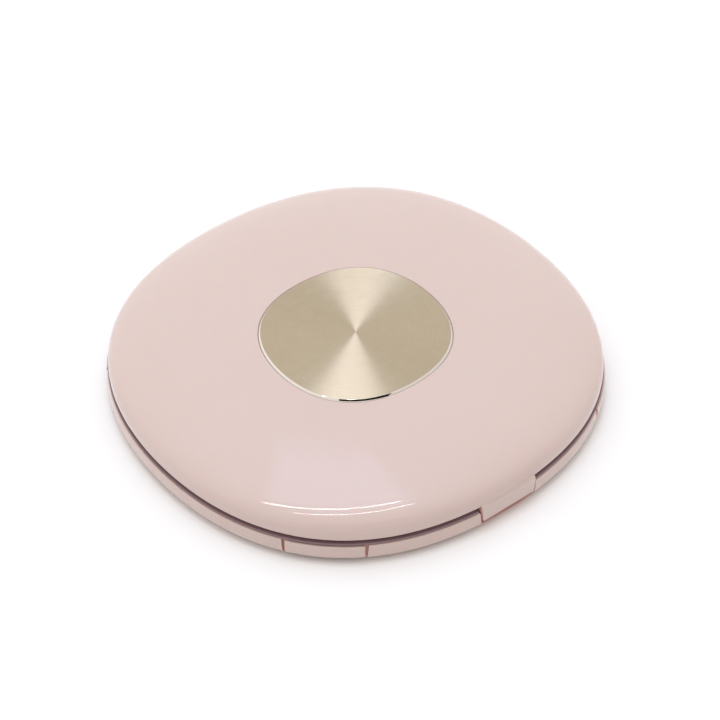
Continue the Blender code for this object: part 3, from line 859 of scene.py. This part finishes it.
def make_mixing_plate():
    """A plate with five round wells pressed into the side that faces down while the lid is shut."""
    low, high = PLATE_Z
    rings = disc_rings(PLATE_RADIUS, PLATE_Z, PLATE_EDGE, PLATE_RINGS)
    plate = lathe("mixing_dish", rings, SHELL_STEPS)
    spots = [Vector((0.0, 0.0))]
    for index in range(OUTER_WELLS):
        angle = math.radians(WELL_TURN) + index * 2 * math.pi / OUTER_WELLS
        spots.append(Vector(on_ray(angle, WELL_CIRCLE)))
    for vertex in plate.data.vertices:
        if vertex.co.z > (low + high) / 2 * MM:
            continue
        nearest = min((vertex.co.xy / MM - spot).length for spot in spots)
        share = min(max((WELL_RADIUS - nearest) / WELL_SLOPE, 0.0), 1.0)
        vertex.co.z += WELL_DEPTH * MM * share * share * (3 - 2 * share)
    paint(plate, WHITE)
    stand_in(smooth(plate), "lid", "white_plate", "mixing_plate")


# ------------------------------------------------------------------ base


def belly_arc(radius, innermost, count):
    """Points of the rounded lower edge of a wall whose widest plan radius is radius.

    It runs from the widest point down and in, as far as the innermost plan radius.
    """
    round_radius = BELLY_Z - BASE_Z
    centre = radius - round_radius
    last = math.acos(max(innermost - centre, 0.0) / round_radius)
    angles = [last * step / (count - 1) for step in range(count)]
    return [
        (centre + round_radius * math.cos(a), BELLY_Z - round_radius * math.sin(a)) for a in angles
    ]


def base_profile():
    inside = [(0.0, FLOOR_Z), (WALL_INNER, FLOOR_Z, 0.6), (WALL_INNER, RIM_Z, 0.12)]
    rim = [(RIM_RADIUS, RIM_Z, 0.22), (BELLY_RADIUS, BELLY_TOP_Z, 0.3)]
    belly = belly_arc(BELLY_RADIUS, 0.0, BELLY_POINTS)
    return rounded(inside + rim + belly + [(0.0, BASE_Z)])


def notch():
    """The opening for the lid's tab, wider at its top."""
    view = [
        (-NOTCH_HALF_BOTTOM, FLOOR_Z),
        (NOTCH_HALF_BOTTOM, FLOOR_Z),
        (NOTCH_HALF_TOP, RIM_Z),
        (NOTCH_HALF_TOP, ABOVE),
        (-NOTCH_HALF_TOP, ABOVE),
        (-NOTCH_HALF_TOP, RIM_Z),
    ]
    return prism([(x, NOTCH_FRONT_Y, z) for x, z in view], [(x, BEYOND, z) for x, z in view])


def clip_slot(angle):
    """The groove round a corner for a clip."""
    inner, outer = CLIP_SLOT_RADIUS, BEYOND
    profile = [(inner, ABOVE), (outer, ABOVE), (outer, BELOW), (inner, BELOW)]
    slot = lathe("clip_slot", profile, SHELL_STEPS, ring=True)
    return combined(slot, "INTERSECT", [sector(CLIP_SLOT_HALF, -angle, CLIP_SLOT_FLARE)])


def base_bosses():
    """The blocks beside the hinge notch and the posts behind the button's springs."""
    made = []
    for sign in (-1, 1):
        near, far = sorted((sign * (NOTCH_HALF_BOTTOM - OVERLAP), sign * BOSS_END_X))
        low, high = (near, BOSS_Y[0], FLOOR_Z - OVERLAP), (far, BOSS_Y[1], BOSS_TOP_Z)
        made.append(box(low, high))
        near, far = sorted((sign * POST_X[0], sign * POST_X[1]))
        low, high = (near, POST_Y[0], FLOOR_Z - OVERLAP), (far, POST_Y[1], POST_TOP_Z)
        made.append(box(low, high))
    return made


def in_base_gap(centre, normal):
    """1, the painted gap shade, for a face inside a clip's groove or the hinge notch, and 0 for any
    other.
    """
    reach = math.hypot(centre.x, centre.y)
    across = (normal.x * centre.y - normal.y * centre.x) / reach
    outer = plan_radius(centre.x, centre.y)
    beside_tab = abs(centre.x) < NOTCH_HALF_TOP + WIDE_SLACK
    in_notch = beside_tab and centre.y > NOTCH_FRONT_Y - WIDE_SLACK
    on_groove = abs(across) > MOSTLY or outer < CLIP_SLOT_RADIUS + WIDE_SLACK
    in_groove = on_groove and outer > WALL_INNER + WIDE_SLACK
    on_side = BASE_Z + SLACK < centre.z < RIM_Z - SLACK
    return int((in_notch or in_groove) and on_side)


def make_base():
    base = lathe("base", base_profile(), SHELL_STEPS)
    combined(base, "UNION", base_bosses())
    low = (-OPENING_HALF, -BEYOND, OPENING_Z)
    high = (OPENING_HALF, POST_Y[0] - GAP, ABOVE)
    cutters = [
        notch(),
        rod(SWEEP_RADIUS, NOTCH_HALF_BOTTOM, HINGE, 64, "X"),
        rod(PIN_BORE, PIN_BORE_HALF, HINGE, 32, "X"),
        box(low, high),
    ]
    for _, angle in case_corners():
        x, y = on_ray(angle, FOOT_REACH)
        cutters += [clip_slot(angle), window(angle), rod(POCKET_RADIUS, POCKET_Z, (x, y, 0), 64)]
    combined(base, "DIFFERENCE", cutters)
    soft_edges(base, width=0.07, angle=60)
    paint(base, ROSE, ROSE_GAP_SHADE)
    share_finishes(base, in_base_gap)
    stand_in(smooth(base), "base", "rose_lacquer", "base_shell")


def make_deck():
    profile = rounded(
        [
            (DECK_INNER, DECK_Z[1], 0.08),
            (COLLAR[0], DECK_Z[1], 0.1),
            (COLLAR[0], COLLAR_Z, 0.12),
            (COLLAR[1], COLLAR_Z, 0.12),
            (COLLAR[1], DECK_Z[1], 0.1),
            (DECK_OUTER, DECK_Z[1], 0.12),
            (DECK_OUTER, DECK_Z[0], 0.06),
            (SKIRT[1], DECK_Z[0]),
            (SKIRT[1], SKIRT_Z),
            (SKIRT[0], SKIRT_Z),
            (SKIRT[0], DECK_Z[0]),
            (DECK_INNER, DECK_Z[0], 0.06),
        ],
        ring=True,
        arc_points=3,
    )
    deck = lathe("deck", profile, SHELL_STEPS, ring=True)
    half = NOTCH_HALF_TOP + GAP
    slot = CATCH_HALF + CATCH_ROOM[0]
    clear = BOSS_END_X + GAP
    cutters = [
        box((-half, DECK_NOTCH_Y, BELOW), (half, BEYOND, ABOVE)),
        box((-clear, SKIRT_CLEAR_Y, BELOW), (clear, BEYOND, DECK_Z[0])),
        box((-slot, CATCH_Y[0] - GAP, BELOW), (slot, CATCH_Y[1] + CATCH_ROOM[1], ABOVE)),
        box((-BUTTON_CLEAR_X, -BEYOND, BELOW), (BUTTON_CLEAR_X, -SKIRT_CLEAR_Y, DECK_Z[0])),
    ]
    cutters += [window(angle) for _, angle in case_corners()]
    combined(deck, "DIFFERENCE", cutters)
    # Dark plum deck: partly painted shade for the band in the gap under the lid's edge.
    paint(deck, PLUM_AND_GAP_SHADE)
    stand_in(smooth(deck), "base", "plum_moulding", "inner_deck")


def clip_finish(centre, normal):
    """0 for a clip's top, bottom and outer face, and 1, the painted gap shade, for the faces in its
    groove.
    """
    outward = (normal.x * centre.x + normal.y * centre.y) / math.hypot(centre.x, centre.y)
    return int(outward < HALF and abs(normal.z) < HALF)


def make_clip(name, angle):
    top = [(CLIP_INNER, CLIP_TOP_Z), (CLIP_OUTER, CLIP_TOP_Z, 0.2)]
    profile = rounded(top + belly_arc(CLIP_OUTER, CLIP_INNER, CLIP_BELLY_POINTS), ring=True)
    clip = lathe(f"clip_{name}", profile, 2 * SHELL_STEPS, ring=True)
    combined(clip, "INTERSECT", [sector(CLIP_HALF, -angle)])
    low = (-PEG_WIDTH / 2, PEG_REACH[0], PEG_Z[0])
    high = (PEG_WIDTH / 2, PEG_REACH[1], PEG_Z[1])
    combined(clip, "UNION", [box(low, high, turn=-angle)])
    soft_edges(clip, width=0.09, angle=50)
    paint(clip, ROSE, ROSE_GAP_SHADE)
    share_finishes(clip, clip_finish)
    stand_in(smooth(clip), "base", "rose_lacquer", f"corner_clip_{name}")


def make_tray():
    flange_low, flange_high = TRAY_FLANGE_Z
    profile = rounded(
        [
            (0.0, TRAY_FLOOR_Z),
            (TRAY_INNER, TRAY_FLOOR_Z, 0.7),
            (TRAY_INNER, TRAY_LIP_Z, 0.15),
            (TRAY_LIP, TRAY_LIP_Z, 0.15),
            (TRAY_LIP, flange_high, 0.12),
            (TRAY_FLANGE, flange_high, 0.15),
            (TRAY_FLANGE, flange_low, 0.15),
            (TRAY_RADIUS, flange_low, 0.1),
            (TRAY_RADIUS, TRAY_BOTTOM_Z, 0.6),
            (0.0, TRAY_BOTTOM_Z),
        ]
    )
    tray = lathe("tray", profile)
    paint(tray, ROSE_INSIDE)
    stand_in(smooth(tray), "base", "rose_moulding", "water_tray")


def make_seal():
    """A silicone ring with a rounded bead along its top."""
    (inner, outer), (low, high) = SEAL, SEAL_Z
    profile = rounded(
        [(inner, high, 0.38), (outer, high, 0.38), (outer, low, 0.1), (inner, low, 0.1)], ring=True
    )
    seal = lathe("seal", profile, ring=True)
    paint(seal, SILICONE)
    stand_in(smooth(seal), "base", "plum_silicone", "seal_ring")


def disc_rings(radius, disc_levels, edge, rings):
    """The profile of a disc with rows of points across both faces, so that it can be shaped."""
    low, high = disc_levels
    flat = radius - edge
    across = [flat * i / rings for i in range(rings + 1)]
    rim = rounded([(flat, high), (radius, high, edge), (radius, low, edge), (flat, low)])
    return [(r, high) for r in across[:-1]] + rim + [(r, low) for r in across[-2::-1]]


def make_sponge():
    """A sheet that lies flat on the tray and has a rippled top."""
    low, high = SPONGE_Z
    sponge = lathe("sponge_sheet", disc_rings(SPONGE_RADIUS, SPONGE_Z, SPONGE_EDGE, SPONGE_RINGS))
    for height, size in SPONGE_RIPPLES:
        for vertex in sponge.data.vertices:
            share = (vertex.co.z / MM - low) / (high - low)
            lift = noise.noise(vertex.co / (size * MM)) * height * MM
            vertex.co.z += share * lift
    paint(sponge, SPONGE)
    stand_in(smooth(sponge, angle=60), "base", "cellulose_sponge", "sponge")


def make_paper():
    paper = lathe("paper_sheet", disc_rings(PAPER_RADIUS, PAPER_Z, PAPER_EDGE, PAPER_RINGS))
    height, length = PAPER_WAVES
    for vertex in paper.data.vertices:
        place = vertex.co / (length * MM) + Vector(PAPER_SHIFT)
        vertex.co.z += noise.noise(place) * height * MM
    paint(paper, PAPER)
    stand_in(smooth(paper, angle=60), "base", "palette_paper", "palette_paper")


def dress_frame():
    """Finishes for the frame's nodes that stay as they are."""
    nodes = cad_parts
    paint(nodes["medallion_adhesive"], TAPE)
    paint(nodes["hinge_pin"], STEEL)
    paint(nodes["push_button"], ROSE)
    for side in ("left", "right"):
        paint(nodes[f"button_spring_{side}"], STEEL)
    for name, _ in case_corners():
        paint(nodes[f"foot_{name}"], RUBBER)


# ------------------------------------------------------------------ studio


def viewer_axes():
    """Right, away and up, as the camera's user would say them."""
    azimuth = math.radians(VIEW_AZIMUTH)
    away = Vector((-math.sin(azimuth), math.cos(azimuth), 0.0))
    up = Vector((0.0, 0.0, 1.0))
    return away.cross(up), away, up


def studio_point(right, away, up):
    """A place from the centre of the view, by metres right, away and up."""
    axes = viewer_axes()
    return axes[0] * right + axes[1] * away + axes[2] * up


def centre_point():
    """The centre of the view, on the lid's medallion."""
    return Vector((0.0, 0.0, VIEW_CENTRE_Z * MM))


def face_centre(thing, along):
    """Turns a flat thing at its place to face the medallion.

    Its X side comes as near as it can to the direction along.
    """
    back = (thing.location - centre_point()).normalized()
    other = back.cross(along).normalized()
    turn = Matrix((other.cross(back), other, back)).transposed()
    thing.matrix_world = Matrix.LocRotScale(thing.location, turn, None)


def strip_light(name, start, end, watts):
    """A long narrow light over the case, between two places given as metres right and away."""
    first, last = studio_point(*start, STRIP_HEIGHT), studio_point(*end, STRIP_HEIGHT)
    light = bpy.data.lights.new(name, "AREA")
    light.shape = "RECTANGLE"
    light.size, light.size_y = (last - first).length, STRIP_WIDTH
    light.energy = watts
    made = new_object(name, light)
    made.location = centre_point() + (first + last) / 2
    face_centre(made, last - first)
    made.visible_camera = False


def make_lights():
    """Two parallel strips, which draw the two thin arcs on the lid."""
    for name, (start, end, watts) in STRIPS.items():
        strip_light(name, start, end, watts)


def flat_sheet(name, width, length):
    """A level rectangle round the origin, its sides in metres."""
    x, y = width / 2, length / 2
    mesh = bpy.data.meshes.new(name)
    mesh.from_pydata([(-x, -y, 0), (x, -y, 0), (x, y, 0), (-x, y, 0)], [], [(0, 1, 2, 3)])
    return new_object(name, mesh)


def make_card():
    """A flat dark card that only reflections see."""
    name = "camera_card"
    card = flat_sheet(name, *CARD_SIZE)
    card.location = centre_point() + studio_point(*CARD_PLACE)
    face_centre(card, viewer_axes()[0])
    finish = Finish(name, 1.0, Base_Color=opaque(CARD_COLOUR), Specular_IOR_Level=0.0)
    paint(card, finish.material)
    card.visible_camera = False


def make_floor():
    floor = flat_sheet("floor", FLOOR_SIZE, FLOOR_SIZE)
    paint(floor, floor_paper())


class Tent(Nodes):
    """The node tree of the world. Its values depend on the direction that light comes from."""

    def __init__(self, name):
        world = bpy.data.worlds.new(name)
        bpy.context.scene.world = world
        world.use_nodes = True
        super().__init__(world.node_tree)
        self.direction = self.node("ShaderNodeTexCoord").outputs["Generated"]

    def towards(self, axis):
        """The cosine of the angle between a light's direction and the axis."""
        inputs = {0: self.direction, 1: axis.normalized()}
        made = self.node("ShaderNodeVectorMath", inputs, operation="DOT_PRODUCT")
        return made.outputs["Value"]

    def ramp(self, value, span, kind="LINEAR"):
        """0 to 1 as the value goes over the span."""
        inputs = {0: value, 1: span[0], 2: span[1]}
        return self.node("ShaderNodeMapRange", inputs, interpolation_type=kind).outputs[0]


def make_world():
    """A white tent that dims smoothly from its brightest side, and the panel in its roof."""
    tent = Tent("white_tent")
    right, away, _ = viewer_axes()
    bright = tent.ramp(tent.towards(studio_point(*TENT_BRIGHTEST)), TENT_SPAN)
    # A level mirror shows the camera the direction whose cosine with away is this.
    mirrored = math.cos(math.radians(VIEW_ELEVATION))
    offset = tent.calculated("SUBTRACT", tent.towards(right), PANEL_RIGHT)
    remaining = tent.calculated("SUBTRACT", mirrored, tent.towards(away))
    spread = tent.calculated("DIVIDE", tent.calculated("ABSOLUTE", offset), remaining)
    sides = tent.ramp(spread, PANEL_SIDES, "SMOOTHSTEP")
    near = tent.ramp(tent.towards(away), PANEL_NEAR, "SMOOTHSTEP")
    far = tent.ramp(tent.towards(away), PANEL_FAR, "SMOOTHSTEP")
    panel = tent.calculated("MULTIPLY", sides, tent.calculated("MULTIPLY", near, far))
    cloth = tent.mixed(bright, opaque(TENT_DIM), opaque(TENT_BRIGHT))
    colour = tent.mixed(panel, cloth, opaque(PANEL_GLOW))
    tent.tree.links.new(colour, tent.tree.nodes["Background"].inputs["Color"])


def make_camera():
    data = bpy.data.cameras.new("camera")
    data.lens = LENS
    data.sensor_width = SENSOR_WIDTH
    data.clip_start, data.clip_end = CLIPPING
    camera = new_object("camera", data)
    elevation = math.radians(VIEW_ELEVATION)
    right, away, up = viewer_axes()
    back = up * math.sin(elevation) - away * math.cos(elevation)
    camera.location = centre_point() + back * VIEW_DISTANCE
    picture_up = back.cross(right)
    aim = centre_point() + (right * AIM_RIGHT - picture_up * AIM_DOWN) * MM
    camera.rotation_euler = (aim - camera.location).to_track_quat("-Z", "Y").to_euler()
    bpy.context.scene.camera = camera


def make_studio():
    make_camera()
    make_world()
    make_floor()
    make_lights()
    make_card()
    bpy.context.scene.view_settings.view_transform = "Standard"


def make_pieces():
    make_lid()
    make_medallion()
    make_mixing_plate()
    make_base()
    make_deck()
    for name, angle in case_corners():
        make_clip(name, angle)
    make_tray()
    make_seal()
    make_sponge()
    make_paper()
    dress_frame()


make_studio()
make_pieces()
